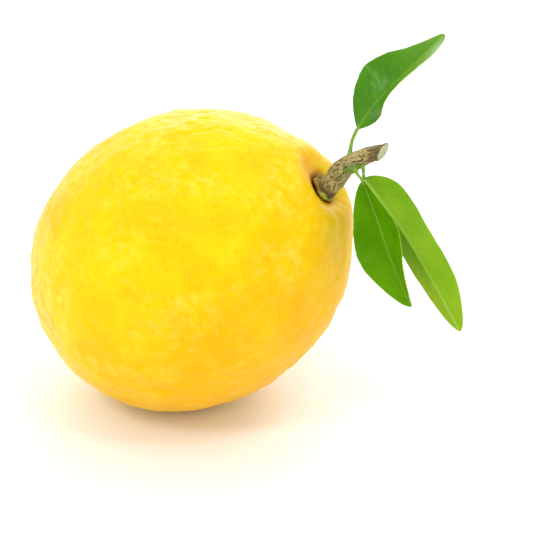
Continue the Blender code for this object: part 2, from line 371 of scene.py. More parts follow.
def peel_material():
    """Yellow rind: broad patches, pale speckle that is partly painted highlight, painted orange shade
    underneath and in the hollow by the stem, warmer round the stem, and a dark ring round the calyx that
    is partly painted crevice shade.
    """
    material, tree, shader = new_material("lemon_peel")
    place = node(tree, "ShaderNodeTexCoord").outputs["Object"]
    pore, warm_and_shade, scar_and_crevice_shade = (read_values(tree, name) for name in ("pore", "warm_and_shade", "button_scar_and_crevice_shade"))
    broad = noise_texture(tree, place, PEEL_BROAD_SCALE, 3.0, 0.55, 0.3)
    speckle = noise_texture(tree, place, PEEL_SPECKLE_SCALE, 4.0, 0.62)
    patches = noise_texture(tree, place, PEEL_PATCH_SCALE, 2.0, 0.5, 0.6)
    # Pale speckle in patches: partly the rind's own mottling, partly painted highlight glints.
    pale_and_glint_patches = remapped(tree, patches, 0.42, 0.62, 0.1, 1.0)
    colour = mixed(tree, remapped(tree, broad, 0.35, 0.68, 0.0, 1.0), PEEL_DEEP, PEEL_BRIGHT)
    pale_and_glint_speckle = sums(tree, "MULTIPLY", remapped(tree, speckle, 0.44, 0.68, 0.0, 0.75), pale_and_glint_patches)
    colour = mixed(tree, pale_and_glint_speckle, colour, PEEL_PALE_AND_GLINT)
    # Painted shade in orange on the lower side and in the hollow by the stem, with a warmer tint at the
    # neck and in patches.
    colour = mixed(tree, warm_and_shade, colour, PEEL_ORANGE_AND_SHADE)
    colour = mixed(tree, sums(tree, "MULTIPLY", pore, PORE_TINT), colour, PEEL_PORE)
    # Dark brown: the button's scar, and round the calyx partly a brown line, partly painted crevice
    # shade.
    colour = mixed(tree, remapped(tree, scar_and_crevice_shade, 0.0, 0.5, 0.0, 1.0), colour, SCAR_AND_SHADE_EDGE)
    colour = mixed(tree, remapped(tree, scar_and_crevice_shade, 0.5, 1.0, 0.0, 1.0), colour, SCAR_AND_SHADE_MIDDLE)
    tree.links.new(colour, shader.inputs["Base Color"])
    rough = remapped(tree, speckle, 0.3, 0.7, *PEEL_ROUGHNESS)
    rougher = sums(tree, "ADD", rough, sums(tree, "MULTIPLY", warm_and_shade, WARM_ROUGHNESS))
    tree.links.new(rougher, shader.inputs["Roughness"])
    cells = node(tree, "ShaderNodeTexVoronoi")
    cells.inputs["Scale"].default_value = PEEL_DIMPLE_SCALE
    tree.links.new(place, cells.inputs["Vector"])
    dimples = remapped(tree, cells.outputs["Distance"], 0.0, 0.55, 0.0, 1.0)
    normal = bumped(tree, dimples, 0.30, 0.0001)
    grain = noise_texture(tree, place, PEEL_GRAIN_SCALE, 4.0, 0.55)
    normal = bumped(tree, grain, 0.35, 0.0002, normal)
    tree.links.new(normal, shader.inputs["Normal"])
    set_subsurface(shader, 0.08, (1.0, 0.65, 0.1), 0.003)
    shader.inputs["Specular IOR Level"].default_value = 0.16
    shader.inputs["Specular Tint"].default_value = (1.0, 0.92, 0.42, 1.0)
    return material


CALYX_BROWN, CALYX_OLIVE = (0.25, 0.155, 0.018), (0.34, 0.28, 0.026)
CALYX_GREEN, CALYX_DARK_RIM_AND_SHADE = (0.42, 0.48, 0.035), (0.14, 0.04, 0.006)


def calyx_material():
    """Dry olive-brown patches, with greener knobs, and a dark rim and underside that are partly dry
    brown and partly painted shade of the gap to the rind.
    """
    material, tree, shader = new_material("lemon_calyx")
    place = node(tree, "ShaderNodeTexCoord").outputs["Object"]
    patches = noise_texture(tree, place, 700.0, 4.0, 0.6, 0.5)
    colour = mixed(tree, remapped(tree, patches, 0.4, 0.62, 0.0, 1.0), CALYX_BROWN, CALYX_OLIVE)
    colour = mixed(tree, read_values(tree, "green"), colour, CALYX_GREEN)
    colour = mixed(tree, read_values(tree, "rim"), colour, CALYX_DARK_RIM_AND_SHADE)
    tree.links.new(colour, shader.inputs["Base Color"])
    shader.inputs["Roughness"].default_value = 0.62
    tree.links.new(bumped(tree, noise_texture(tree, place, 1800.0, 4.0, 0.6), 0.5, 0.0002),
                   shader.inputs["Normal"])
    return material


# Bark colours from the bottom of its furrows to the top of its ridges.
BARK_STOPS = ((0.0, (0.10, 0.065, 0.017)), (0.28, (0.20, 0.145, 0.041)), (0.50, (0.33, 0.25, 0.086)),
              (0.75, (0.47, 0.38, 0.15)), (1.0, (0.58, 0.49, 0.23)))
# The dark bark colour: darker near the cut, and painted shade just above the calyx.
MOSS, BARK_DARK_CUT_AND_SHADE = (0.17, 0.19, 0.04), (0.09, 0.055, 0.018)


def bark_material():
    """Furrowed bark with mossy patches, darker at the cut, and with painted shade where it meets the
    calyx.
    """
    material, tree, shader = new_material("lemon_bark")
    grain = node(tree, "ShaderNodeAttribute", attribute_name="grain").outputs["Vector"]
    ridge = read_values(tree, "ridge")
    fine = noise_texture(tree, grain, 2.4, 5.0, 0.65, 0.6)
    height = sums(tree, "ADD", ridge, sums(tree, "MULTIPLY", sums(tree, "SUBTRACT", fine, 0.5), 0.9))
    ramp = node(tree, "ShaderNodeValToRGB")
    while len(ramp.color_ramp.elements) < len(BARK_STOPS):
        ramp.color_ramp.elements.new(0.5)
    for element, (place, colour) in zip(ramp.color_ramp.elements, BARK_STOPS):
        element.position = place
        element.color = (*colour, 1.0)
    tree.links.new(height, ramp.inputs["Fac"])
    moss = remapped(tree, noise_texture(tree, grain, 0.55, 3.0, 0.5), 0.50, 0.68, 0.0, 0.6)
    colour = mixed(tree, moss, ramp.outputs["Color"], MOSS)
    colour = mixed(tree, sums(tree, "MULTIPLY", read_values(tree, "cut_dark_and_calyx_shade"), 0.75), colour, BARK_DARK_CUT_AND_SHADE)
    tree.links.new(colour, shader.inputs["Base Color"])
    tree.links.new(remapped(tree, fine, 0.3, 0.7, 0.62, 0.88), shader.inputs["Roughness"])
    tree.links.new(bumped(tree, height, 0.5, 0.0002), shader.inputs["Normal"])
    return material


WOOD_PALE, WOOD_RING, WOOD_FIBRE = (0.46, 0.48, 0.28), (0.37, 0.39, 0.18), (0.60, 0.61, 0.45)
GREEN_UNDER_BARK, BARK_EDGE, PITH = (0.33, 0.42, 0.10), (0.11, 0.05, 0.02), (0.40, 0.33, 0.17)
RING_WAVES = 26.0


def cut_wood_material():
    """Pale wood with faint rings: pith in the middle, a green line under the bark."""
    material, tree, shader = new_material("lemon_cut_wood")
    radial = read_values(tree, "radial")
    place = node(tree, "ShaderNodeTexCoord").outputs["Object"]
    fibres = noise_texture(tree, place, 2600.0, 4.0, 0.6)
    rings = sums(tree, "SINE", sums(tree, "MULTIPLY", radial, RING_WAVES), 0.0)
    colour = mixed(tree, remapped(tree, rings, -1.0, 1.0, 0.0, 0.35), WOOD_PALE, WOOD_RING)
    colour = mixed(tree, remapped(tree, fibres, 0.4, 0.7, 0.0, 0.5), colour, WOOD_FIBRE)
    colour = mixed(tree, remapped(tree, radial, 0.80, 0.93, 0.0, 1.0), colour, GREEN_UNDER_BARK)
    colour = mixed(tree, remapped(tree, radial, 0.93, 1.0, 0.0, 1.0), colour, BARK_EDGE)
    colour = mixed(tree, remapped(tree, radial, 0.20, 0.12, 0.0, 0.8), colour, PITH)
    tree.links.new(colour, shader.inputs["Base Color"])
    shader.inputs["Roughness"].default_value = 0.7
    tree.links.new(bumped(tree, fibres, 0.4, 0.0002), shader.inputs["Normal"])
    return material


SHOOT_DARK, SHOOT_LIGHT = (0.07, 0.13, 0.006), (0.15, 0.25, 0.012)
STALK_DARK, STALK_LIGHT = (0.12, 0.27, 0.008), (0.25, 0.42, 0.03)


def green_wood_material(name, dark, light, roughness):
    """Young green wood and leaf stalks: smooth, with faint streaks."""
    material, tree, shader = new_material(name)
    grain = node(tree, "ShaderNodeAttribute", attribute_name="grain").outputs["Vector"]
    streaks = noise_texture(tree, grain, 1.6, 4.0, 0.6, 0.4)
    colour = mixed(tree, remapped(tree, streaks, 0.38, 0.64, 0.0, 1.0), dark, light)
    tree.links.new(colour, shader.inputs["Base Color"])
    tree.links.new(remapped(tree, streaks, 0.3, 0.7, roughness - 0.06, roughness + 0.08),
                   shader.inputs["Roughness"])
    tree.links.new(bumped(tree, streaks, 0.3, 0.0001), shader.inputs["Normal"])
    set_subsurface(shader, 0.1, (0.3, 0.8, 0.1), 0.001)
    return material


LEAF_PATCH_SCALE, LEAF_CELL_SCALE = 170.0, 2600.0
LEAF_VEIN, LEAF_MARGIN_AND_RIM_LIGHT, LEAF_CELL = (0.40, 0.60, 0.10), (0.42, 0.60, 0.10), (0.02, 0.09, 0.004)
UNDERSIDE_ROUGHER = 0.2


def leaf_material(name, look):
    """A waxy upper face and a paler, duller underside, with lighter veins, a lighter margin that is
    partly painted highlight on the lit rim, and one half painted apart as light and shade.
    """
    material, tree, shader = new_material(name)
    place = node(tree, "ShaderNodeTexCoord").outputs["Object"]
    vein, below, margin_and_rim_light = (read_values(tree, key) for key in ("vein", "below", "margin_and_rim_light"))
    toward_tip, half_light_and_shade = (read_values(tree, key) for key in ("reach", "half_light_and_shade"))
    patches = noise_texture(tree, place, LEAF_PATCH_SCALE, 3.0, 0.5)
    patches = remapped(tree, patches, 0.38, 0.64, 0.0, 1.0)
    cells = noise_texture(tree, place, LEAF_CELL_SCALE, 3.0, 0.6)
    top_colour = mixed(tree, patches, look["top"], look["top_light"])
    low_colour = mixed(tree, patches, look["under"], look["under_light"])
    colour = mixed(tree, below, top_colour, low_colour)
    colour = mixed(tree, sums(tree, "MULTIPLY", toward_tip, 0.55), colour, look["tip"])
    # One half painted apart: painted shade on the back leaf, a paler painted half on the upper leaf.
    colour = mixed(tree, half_light_and_shade, colour, look["light_and_shade_colour"])
    colour = mixed(tree, remapped(tree, cells, 0.4, 0.7, 0.0, 0.16), colour, LEAF_CELL)
    colour = mixed(tree, sums(tree, "MULTIPLY", vein, 0.7), colour, LEAF_VEIN)
    # A lighter margin: partly pale, partly painted highlight on the lit rim.
    colour = mixed(tree, sums(tree, "MULTIPLY", margin_and_rim_light, 0.55), colour, LEAF_MARGIN_AND_RIM_LIGHT)
    tree.links.new(colour, shader.inputs["Base Color"])
    rough = remapped(tree, cells, 0.2, 0.8, look["roughness"], look["roughness"] + 0.04)
    rougher = sums(tree, "ADD", rough, sums(tree, "MULTIPLY", below, UNDERSIDE_ROUGHER))
    tree.links.new(rougher, shader.inputs["Roughness"])
    set_subsurface(shader, 0.12, (0.35, 1.0, 0.08), 0.0012)
    shader.inputs["Specular IOR Level"].default_value = look["shine"]
    shader.inputs["Specular Tint"].default_value = (*look["shine_tint"], 1.0)
    return material


# ---------------------------------------------------------------- the fruit

FRUIT_SPLITS = 7            # each of the cube's faces becomes 2**7 by 2**7
RING_SQUEEZE = 0.35         # draws the points together towards the two ends
REST_SOFTNESS = 0.12        # the height above the floor within which the rind flattens
PORE_SPACING, PORE_RADIUS, PORE_DEPTH = 1.55, 0.45, 0.11
GRAIN_SIZE, GRAIN_HEIGHT = 1.5, 0.05
PIT_CALM = 0.16             # the pit under the calyx is smooth
# Sizes of the rind's noise, and how high or deep it goes.
LUMP_SIZE, LUMP_HEIGHT = 10.0, 0.32
RIPPLE_SIZE, RIPPLE_HEIGHT = 3.4, 0.24
DENT_SIZE, DENT_DEPTH = 2.4, 0.17
NECK_FOLD_HEIGHT, NECK_FOLD_PLACE = 0.40, (0.42, 0.18)
STREAK_HEIGHT, STREAK_PLACE = 0.21, (0.72, 0.34)
SMOOTHING, SMOOTH_PLACE = 0.65, (0.36, 0.26)
# At the other end: a small button, its ring, and the brown scar on it.
BUTTON_HEIGHT, BUTTON_WIDTH = 0.55, 0.035
BUTTON_RING_DEPTH, BUTTON_RING_PLACE = 0.16, (0.06, 0.025)
# How much orange is painted onto the peel: painted shade underneath and in the orange hollow by the
# stem, a warmer tint at the neck and in patches.
PAINTED_SHADE_UNDER, WARM_NECK, PAINTED_SHADE_HOLLOW, WARM_PATCHES = 0.62, 0.34, 0.40, 0.22
# The direction towards the lower side of the fruit, which is painted in orange shade.
SHADED_SIDE = np.array([0.66, -0.20, -0.72])
# Ridges and hollows round the stem: turn in degrees, angle from the axis, their widths, height.
NECK_RELIEF = [
    (-168.0, 0.19, 32.0, 0.06, -0.75), (-150.0, 0.32, 26.0, 0.05, 0.35), (-4.0, 0.18, 24.0, 0.06, 0.4),
    (-30.0, 0.34, 20.0, 0.12, -0.45), (6.0, 0.44, 12.0, 0.18, 0.3), (-95.0, 0.36, 15.0, 0.10, -0.25),
]
# The hollow beside the stem that is painted in orange shade.
SHADED_HOLLOW_PLACE = (-160.0, 0.20, 42.0, 0.09)      # turn, angle, their widths


def round_cube_directions(splits):
    """Directions from a finely split cube, spread evenly, with its faces."""
    bm = bmesh.new()
    bmesh.ops.create_cube(bm, size=2.0)
    mesh = bpy.data.meshes.new("cube_grid")
    bm.to_mesh(mesh)
    bm.free()
    obj = add_object("cube_grid", mesh)
    split = obj.modifiers.new("split", "SUBSURF")
    split.subdivision_type = "SIMPLE"
    split.levels = split.render_levels = splits
    dense = bpy.data.meshes.new_from_object(obj.evaluated_get(bpy.context.evaluated_depsgraph_get()))
    bpy.data.objects.remove(obj)
    points = np.tan(get_points(dense) * math.pi / 4)
    points /= np.linalg.norm(points, axis=1, keepdims=True)
    faces = [tuple(face.vertices) for face in dense.polygons]
    bpy.data.meshes.remove(dense)
    return points, faces


def near_place(angle, turn, place_turn, place_angle, turn_width, angle_width):
    """One at a place on the fruit, fading to nothing away from it."""
    away = (np.degrees(turn) - place_turn + 180.0) % 360.0 - 180.0
    return np.exp(-(away / turn_width) ** 2 - ((angle - place_angle) / angle_width) ** 2)


def fruit_shape(angle, turn, local):
    """Distances along and out from the axis: the CAD's outline with folds, streaks and lumps."""
    along, out = fruit_outline(angle)
    out = out + lobes(angle, turn) * np.sin(angle)
    warp = noise_at(local, 9.0, 2, 12.0)
    spokes = np.column_stack([np.cos(turn), np.sin(turn), np.zeros_like(turn)])
    folds = noise_at(spokes * 2.2 + np.outer(warp, (0.4, 0.4, 0.8)), 1.0, 1, 3.1)
    neck_folds = NECK_FOLD_HEIGHT * folds * near(angle, *NECK_FOLD_PLACE)
    for fold_turn, fold_angle, turn_width, angle_width, height in NECK_RELIEF:
        neck_folds += height * near_place(angle, turn, fold_turn, fold_angle, turn_width, angle_width)
    streaks = noise_at(np.column_stack([spokes[:, :2] * 7.5, angle * 5.0 + 1.4 * warp]), 1.0, 2, 8.3)
    patches = smooth_step(noise_at(local, 13.0, 2, 21.0), -0.25, 0.35)
    upper_side = smooth_step(-np.cos(turn), -0.4, 0.5)
    shoulder = near(angle, *STREAK_PLACE) * (0.3 + 0.7 * upper_side)
    lumps = noise_at(local, LUMP_SIZE, 2, 7.7)
    ripples = noise_at(local, RIPPLE_SIZE, 3, 1.9)
    dents = smooth_step(noise_at(local, DENT_SIZE, 2, 15.0), 0.10, 0.5)
    smoother = 1.0 - SMOOTHING * near(angle, *SMOOTH_PLACE)
    swell = (neck_folds + STREAK_HEIGHT * streaks * shoulder * patches + LUMP_HEIGHT * lumps
             + (RIPPLE_HEIGHT * ripples - DENT_DEPTH * dents) * smoother)
    along = along + BUTTON_HEIGHT * near(math.pi - angle, 0.0, BUTTON_WIDTH)
    along = along - BUTTON_RING_DEPTH * near(math.pi - angle, *BUTTON_RING_PLACE)
    swell = swell * (1.0 - np.exp(-(angle / 0.14) ** 4))
    return along + swell * np.cos(angle), out + swell * np.sin(angle)


def pore_field(points):
    """Depth of the oil pores from 0 to 1: small round dimples at scattered centres."""
    nearest = [noise.voronoi(Vector(p) / PORE_SPACING, distance_metric="DISTANCE")[0][0] for p in points]
    distance = np.array(nearest) * PORE_SPACING
    return near(distance, 0.0, PORE_RADIUS)


def make_fruit():
    """The rind, closed all round, with its pores and the values that its material reads."""
    directions, faces = round_cube_directions(FRUIT_SPLITS)
    angle = np.arccos(np.clip(directions[:, 2], -1, 1))
    turn = np.arctan2(directions[:, 1], directions[:, 0])
    angle = angle - RING_SQUEEZE / 2 * np.sin(2 * angle)
    out = np.sin(angle)
    local = np.column_stack([out * np.cos(turn), out * np.sin(turn), np.cos(angle)])
    along, out = fruit_shape(angle, turn, local * FRUIT_RADIUS)
    points = round_axis(along, out, turn)
    fruit = new_mesh_object("lemon_fruit", points, faces)
    normals = get_normals(fruit.data)
    if (normals * points).sum() < 0:
        fruit.data.flip_normals()
        normals = get_normals(fruit.data)
    pores = pore_field(points)
    grain = noise_at(points, GRAIN_SIZE, 2, 5.3)
    calm = 1.0 - near(angle, 0.0, PIT_CALM)
    places = get_points(fruit.data) / MM
    places += normals * ((GRAIN_HEIGHT * grain - PORE_DEPTH * pores) * calm)[:, None]
    press_flat(places)
    set_points(fruit.data, places * MM)
    add_values(fruit, "pore", pores * calm)
    # Painted shade: more orange on the lower side and in the hollow beside the stem; the neck and
    # patches are warmer in tint.
    under = smooth_step((places - MIDDLE) @ SHADED_SIDE, -6.0, 30.0)
    blotch = noise_at(points, 6.0, 3, 17.0)
    neck = smooth_step(angle + 0.10 * blotch, 0.46, 0.16)
    shaded_hollow = (1.0 + 0.6 * blotch) * near_place(angle, turn, *SHADED_HOLLOW_PLACE)
    warm_and_shade = (PAINTED_SHADE_UNDER * under * (1.0 - neck) + WARM_NECK * neck + PAINTED_SHADE_HOLLOW * shaded_hollow
            + WARM_PATCHES * blotch)
    add_values(fruit, "warm_and_shade", np.clip(warm_and_shade, 0, 1))
    # The button's brown scar, and a dark ring round the calyx that is partly painted crevice shade.
    button_scar_and_crevice_shade = near(math.pi - angle, 0.0, BUTTON_WIDTH) + np.exp(-((angle + 0.02 * blotch) / 0.118) ** 5)
    add_values(fruit, "button_scar_and_crevice_shade", np.clip(button_scar_and_crevice_shade, 0, 1))
    finish_piece(fruit, "fruit", "peel", peel_material())


def press_flat(places):
    """The rind flattens where it lies: it rounds softly into the floor, never below it."""
    places[:, 2] = REST_SOFTNESS * np.log1p(np.exp(places[:, 2] / REST_SOFTNESS))


def finish_piece(obj, node_name, slot_name, *materials):
    """Gives a piece its materials and its body, and hides the CAD node that it stands for; slot_name is
    not used.
    """
    for material in materials:
        obj.data.materials.append(material)
    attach(obj, "root")
    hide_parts(node_name)


# ---------------------------------------------------------------- calyx, twig, shoot, stalks

CALYX_COLUMNS, CALYX_ROWS = 150, 54
CALYX_RADIUS, CALYX_KNOB, CALYX_SPREAD = 2.75, 0.5, 0.5
CALYX_UNDERSIDE, CALYX_HUB = 1.25, 0.9
KNOB_COUNT, KNOB_PHASE = 5, 6.1
GREEN_KNOBS = ((1.0, -68.0, 24.0), (0.7, -4.0, 26.0))   # how green, turn in degrees, width


def make_calyx():
    """Five knobs round a button: what is left of the flower, gripping the twig."""
    columns, rows = CALYX_COLUMNS, CALYX_ROWS
    turns = np.linspace(0, 2 * math.pi, columns, endpoint=False)
    knobs = 0.5 + 0.5 * np.cos(KNOB_COUNT * turns + KNOB_PHASE)
    knobs *= 0.75 + 0.25 * np.cos(2 * turns + 0.5)
    spokes = np.outer(np.cos(turns), ACROSS) + np.outer(np.sin(turns), SIDE)
    downhill = smooth_step(-spokes[:, 2], -0.6, 0.6)
    fresh = sum(share * near_place(0.0, turns, turn, 0.0, width, 1.0)
                for share, turn, width in GREEN_KNOBS)
    points, rim, green = [], [], []
    for angle in np.linspace(0.0, math.pi, rows + 1)[1:-1]:
        out = (CALYX_RADIUS + CALYX_KNOB * knobs + CALYX_SPREAD * downhill) * math.sin(angle) ** 0.7
        if angle < math.pi / 2:
            height = (0.4 + 0.6 * knobs + 0.3 * fresh) * math.cos(angle) ** 0.7
        else:
            height = CALYX_UNDERSIDE * math.cos(angle) * np.ones(columns)
        where = np.column_stack([out * np.cos(turns), out * np.sin(turns), height])
        lump = noise_at(where, 1.1, 4, 11.0)
        out = out + 0.42 * lump * math.sin(angle)
        height = height + 0.38 * lump
        points.append(round_axis(CALYX_PLACE + height, out, turns))
        # The rim and underside are painted dark: partly dry brown, partly painted shade of the gap to
        # the rind.
        rim.append(smooth_step(angle, 1.5, 1.9) * np.ones(columns))
        green.append(np.clip(fresh * (0.9 + 0.8 * lump), 0.0, 1.0))
    faces = grid_faces(len(points), columns, True)
    count = len(points) * columns
    hubs = [AXIS * (CALYX_PLACE + CALYX_HUB), AXIS * (CALYX_PLACE - CALYX_UNDERSIDE)]
    verts = np.vstack(points + hubs)
    for j in range(columns):
        k = (j + 1) % columns
        faces.append((count, k, j))
        faces.append((count + 1, count - columns + j, count - columns + k))
    calyx = new_mesh_object("lemon_calyx", verts, faces)
    make_normals_outward(calyx)
    add_values(calyx, "rim", np.concatenate(rim + [[0.0, 1.0]]))
    add_values(calyx, "green", np.concatenate(green + [[0.0, 0.0]]))
    finish_piece(calyx, "calyx", "calyx_green", calyx_material())


def make_normals_outward(obj):
    """Turns every face of a closed mesh outwards."""
    bm = bmesh.new()
    bm.from_mesh(obj.data)
    bmesh.ops.recalc_face_normals(bm, faces=bm.faces)
    bm.to_mesh(obj.data)
    bm.free()


def sweep(path, radii, columns):
    """Directions out from a path all round it, and each point's place in the tube's own grain."""
    tangents, firsts, seconds = frames_along(path)
    turns = np.linspace(0, 2 * math.pi, columns, endpoint=False)
    along = np.concatenate([[0], np.cumsum(np.linalg.norm(np.diff(path, axis=0), axis=1))])
    cosine, sine = np.cos(turns)[None, :], np.sin(turns)[None, :]
    ring = cosine[:, :, None] * firsts[:, None] + sine[:, :, None] * seconds[:, None]
    grain = np.stack([cosine * radii[:, None], sine * radii[:, None],
                      np.repeat(along[:, None], columns, 1)], axis=2)
    return ring, grain


TWIG_COLUMNS, TWIG_STEPS = 144, 34
RIDGE_SIZE, RIDGE_HEIGHT, RIDGE_STRETCH = 0.62, 0.17, 0.24
TWIG_LUMP_SIZE, TWIG_LUMP_HEIGHT = 2.6, 0.14
BEND_KNOB_HEIGHT, BEND_KNOB_PLACE, BEND_KNOB_LENGTH = 0.15, 6.2, 0.9
CAP_RINGS = 16
CUT_DOME = 0.5              # the cut wood stands a little proud of the bark


def bark_relief(flat):
    """How far the bark stands out at each place in its grain, and how much of that is ridge."""
    warped = flat * np.array([1.0, 1.0, RIDGE_STRETCH])
    warped[:, 0] += 0.35 * np.sin(flat[:, 2] * 1.1)
    wander = noise_at(flat, 2.2, 2, 4.4)
    ridge = 1.0 - 2.2 * np.abs(noise_at(warped + 0.35 * wander[:, None], RIDGE_SIZE, 3, 2.0))
    ridge = np.clip(ridge, -0.4, 1.0)
    lump = noise_at(flat, TWIG_LUMP_SIZE, 2, 9.1)
    bend_knob = BEND_KNOB_HEIGHT * near(flat[:, 2], BEND_KNOB_PLACE, BEND_KNOB_LENGTH)
    return RIDGE_HEIGHT * (ridge - 0.4) + TWIG_LUMP_HEIGHT * lump + bend_knob, ridge


def cut_end_rings(rim, middle, normal):
    """Rings of the cut wood from its rim inwards, slightly rough and domed, then its middle."""
    rings = []
    for i in range(1, CAP_RINGS):
        share = 1.0 - i / CAP_RINGS
        dome = CUT_DOME * (1.0 - share ** 2)
        rough = 0.07 * noise_at(middle + (rim - middle) * share, 0.35, 2, 6.0)
        rings.append(middle + (rim - middle) * share + normal * (dome + rough)[:, None])
    return np.vstack(rings + [[middle + normal * CUT_DOME]])


def make_twig():
    """Ridged bark swept along the bend, cut off on the slant, with the wood showing."""
    columns = TWIG_COLUMNS
    rows = smooth_path(np.column_stack([TWIG_POINTS, TWIG_RADII]), TWIG_STEPS)
    path, radii = rows[:, :3], rows[:, 3]
    ring, grain = sweep(path, radii, columns)
    swell, ridge = bark_relief(grain.reshape(-1, 3))
    surface = path[:, None] + ring * (radii[:, None] + swell.reshape(len(path), columns))[:, :, None]
    end_normal = np.array(TWIG_END_NORMAL)
    beyond = (surface - np.array(TWIG_END_POINT)) @ end_normal
    verts, values = squeeze_to_cut(surface, grain, ridge.reshape(len(path), columns), beyond)
    rows_kept = verts.shape[0]
    # The bark is darker near the cut, and painted shade darkens it just above the calyx.
    near_cut = smooth_step(values["ahead"], 3.4, 0.3)
    calyx_shade = smooth_step(values["grain"][:, :, 2], 2.7, 1.3)
    cut_dark_and_calyx_shade = np.maximum(near_cut, calyx_shade)
    cap_verts = cut_end_rings(verts[-1], verts[-1].mean(axis=0), end_normal)
    all_verts = np.vstack([verts.reshape(-1, 3), cap_verts, [verts[0].mean(axis=0)]])
    side_count = rows_kept * columns
    hub = side_count + (CAP_RINGS - 1) * columns
    faces = grid_faces(rows_kept, columns, True)
    bark_faces = len(faces)
    ring_starts = list(range(side_count - columns, hub, columns))
    for start, following in zip(ring_starts[:-1], ring_starts[1:]):
        for j in range(columns):
            k = (j + 1) % columns
            faces.append((start + j, start + k, following + k, following + j))
    for j in range(columns):
        faces.append((ring_starts[-1] + j, ring_starts[-1] + (j + 1) % columns, hub))
    material_of_face = [0] * bark_faces + [1] * (len(faces) - bark_faces) + [0] * columns
    for j in range(columns):
        faces.append(((j + 1) % columns, j, hub + 1))
    twig = new_mesh_object("lemon_twig", all_verts, faces)
    twig.data.polygons.foreach_set("material_index", material_of_face)
    make_normals_outward(twig)
    extra = len(all_verts) - side_count
    shares = [np.full(columns, 1.0 - i / CAP_RINGS) for i in range(1, CAP_RINGS)]
    add_values(twig, "radial", np.concatenate([np.ones(side_count)] + shares + [[0.0, 0.0]]))
    add_values(twig, "ridge", np.concatenate([values["ridge"].ravel() * 0.6 + 0.25, np.zeros(extra)]))
    add_values(twig, "cut_dark_and_calyx_shade", np.concatenate([cut_dark_and_calyx_shade.ravel(), np.zeros(extra)]))
    add_vectors(twig, "grain", np.vstack([values["grain"].reshape(-1, 3), np.zeros((extra, 3))]))
    finish_piece(twig, "twig", "bark", bark_material(), cut_wood_material())


def squeeze_to_cut(surface, grain, ridge, beyond):
    """Each long line of the bark is resampled so that it ends exactly on the slanted cut."""
    rows, columns = beyond.shape
    wanted = np.linspace(0.0, 1.0, rows)
    verts = np.zeros_like(surface)
    values = {"grain": np.zeros_like(grain), "ridge": np.zeros_like(ridge),
              "ahead": np.zeros_like(ridge)}
    index = np.arange(rows)
    for j in range(columns):
        first_out = int(np.argmax(beyond[:, j] > 0))
        before, after = beyond[first_out - 1, j], beyond[first_out, j]
        end = first_out - 1 + before / (before - after)
        at = wanted * end
        for axis in range(3):
            verts[:, j, axis] = np.interp(at, index, surface[:, j, axis])
            values["grain"][:, j, axis] = np.interp(at, index, grain[:, j, axis])
        values["ridge"][:, j] = np.interp(at, index, ridge[:, j])
        values["ahead"][:, j] = values["grain"][-1, j, 2] - values["grain"][:, j, 2]
    return verts, values


def make_tube(name, points, radii, columns, slot_name, material, lumps, steps=14):
    """A solid round stalk, closed flat at both ends, slightly uneven."""
    rows = smooth_path(np.column_stack([points, radii]), steps)
    path, radii = rows[:, :3], rows[:, 3]
    ring, grain = sweep(path, radii, columns)
    uneven = lumps * noise_at(grain.reshape(-1, 3), 0.9, 2, 8.0).reshape(len(path), columns)
    surface = path[:, None] + ring * (radii[:, None] + uneven)[:, :, None]
    verts = np.vstack([surface.reshape(-1, 3), path[:1], path[-1:]])
    faces = grid_faces(len(path), columns, True)
    count = len(path) * columns
    for j in range(columns):
        k = (j + 1) % columns
        faces.append((k, j, count))
        faces.append((count - columns + j, count - columns + k, count + 1))
    tube = new_mesh_object("lemon_" + name, verts, faces)
    make_normals_outward(tube)
    add_vectors(tube, "grain", np.vstack([grain.reshape(-1, 3), [[0, 0, 0], grain[-1, 0] * [0, 0, 1]]]))
    finish_piece(tube, name, slot_name, material)


# ---------------------------------------------------------------- the leaves

LEAF_ROWS, LEAF_COLUMNS = 150, 73
LEAF_THICKNESS = 0.34
LEAF_WAVE = 0.35
LEAF_TIP_ROUNDNESS = 70.0
LEAST_HALF_WIDTH = 0.12
FOLD_SOFTNESS = 0.15
MIDRIB_WIDTH, MIDRIB_TAPER = 0.34, 0.65
VEIN_LEAN, VEIN_CURVE, VEIN_WIDTH, BLADE_SPAN = 0.20, 0.10, 0.17, 34.0
# Relief in millimetres: the blade puffs up between the veins, above and below.
PUFF_HEIGHT, VEIN_GROOVE, MIDRIB_GROOVE = 0.03, 0.03, 0.06
VEIN_RIDGE, MIDRIB_RIDGE = 0.04, 0.30


def bezier(points, s):
    """Places and directions on a cubic curve, for a column of s."""
    a, b, c, d = (np.array(p, float) for p in points)
    r = 1.0 - s
    place = a * r ** 3 + b * 3 * r * r * s + c * 3 * r * s * s + d * s ** 3
    direction = (b - a) * 3 * r * r + (c - b) * 6 * r * s + (d - c) * 3 * s * s
    return place, direction / np.linalg.norm(direction, axis=1, keepdims=True)


def half_width(spec, s):
    """Half the blade's width along its length: a bowed outline with a rounded tip."""
    base_power, tip_power = spec["powers"]
    widest = base_power / (base_power + tip_power)
    peak = widest ** base_power * (1.0 - widest) ** tip_power
    wide = spec["half_width"] * s ** base_power * (1.0 - s) ** tip_power / peak
    blunt_tip = spec["blunt"] * np.sqrt(LEAF_TIP_ROUNDNESS * (1.0 - s)) * smooth_step(s, 0.80, 0.99)
    return np.maximum((wide ** 3 + blunt_tip ** 3) ** (1.0 / 3.0), LEAST_HALF_WIDTH)


def through_three(values, s):
    """The smooth curve through values at the base, the middle and the tip."""
    base, middle, tip = values
    return base * (1.0 - s) * (1.0 - 2.0 * s) + middle * 4.0 * s * (1.0 - s) + tip * s * (2.0 * s - 1.0)


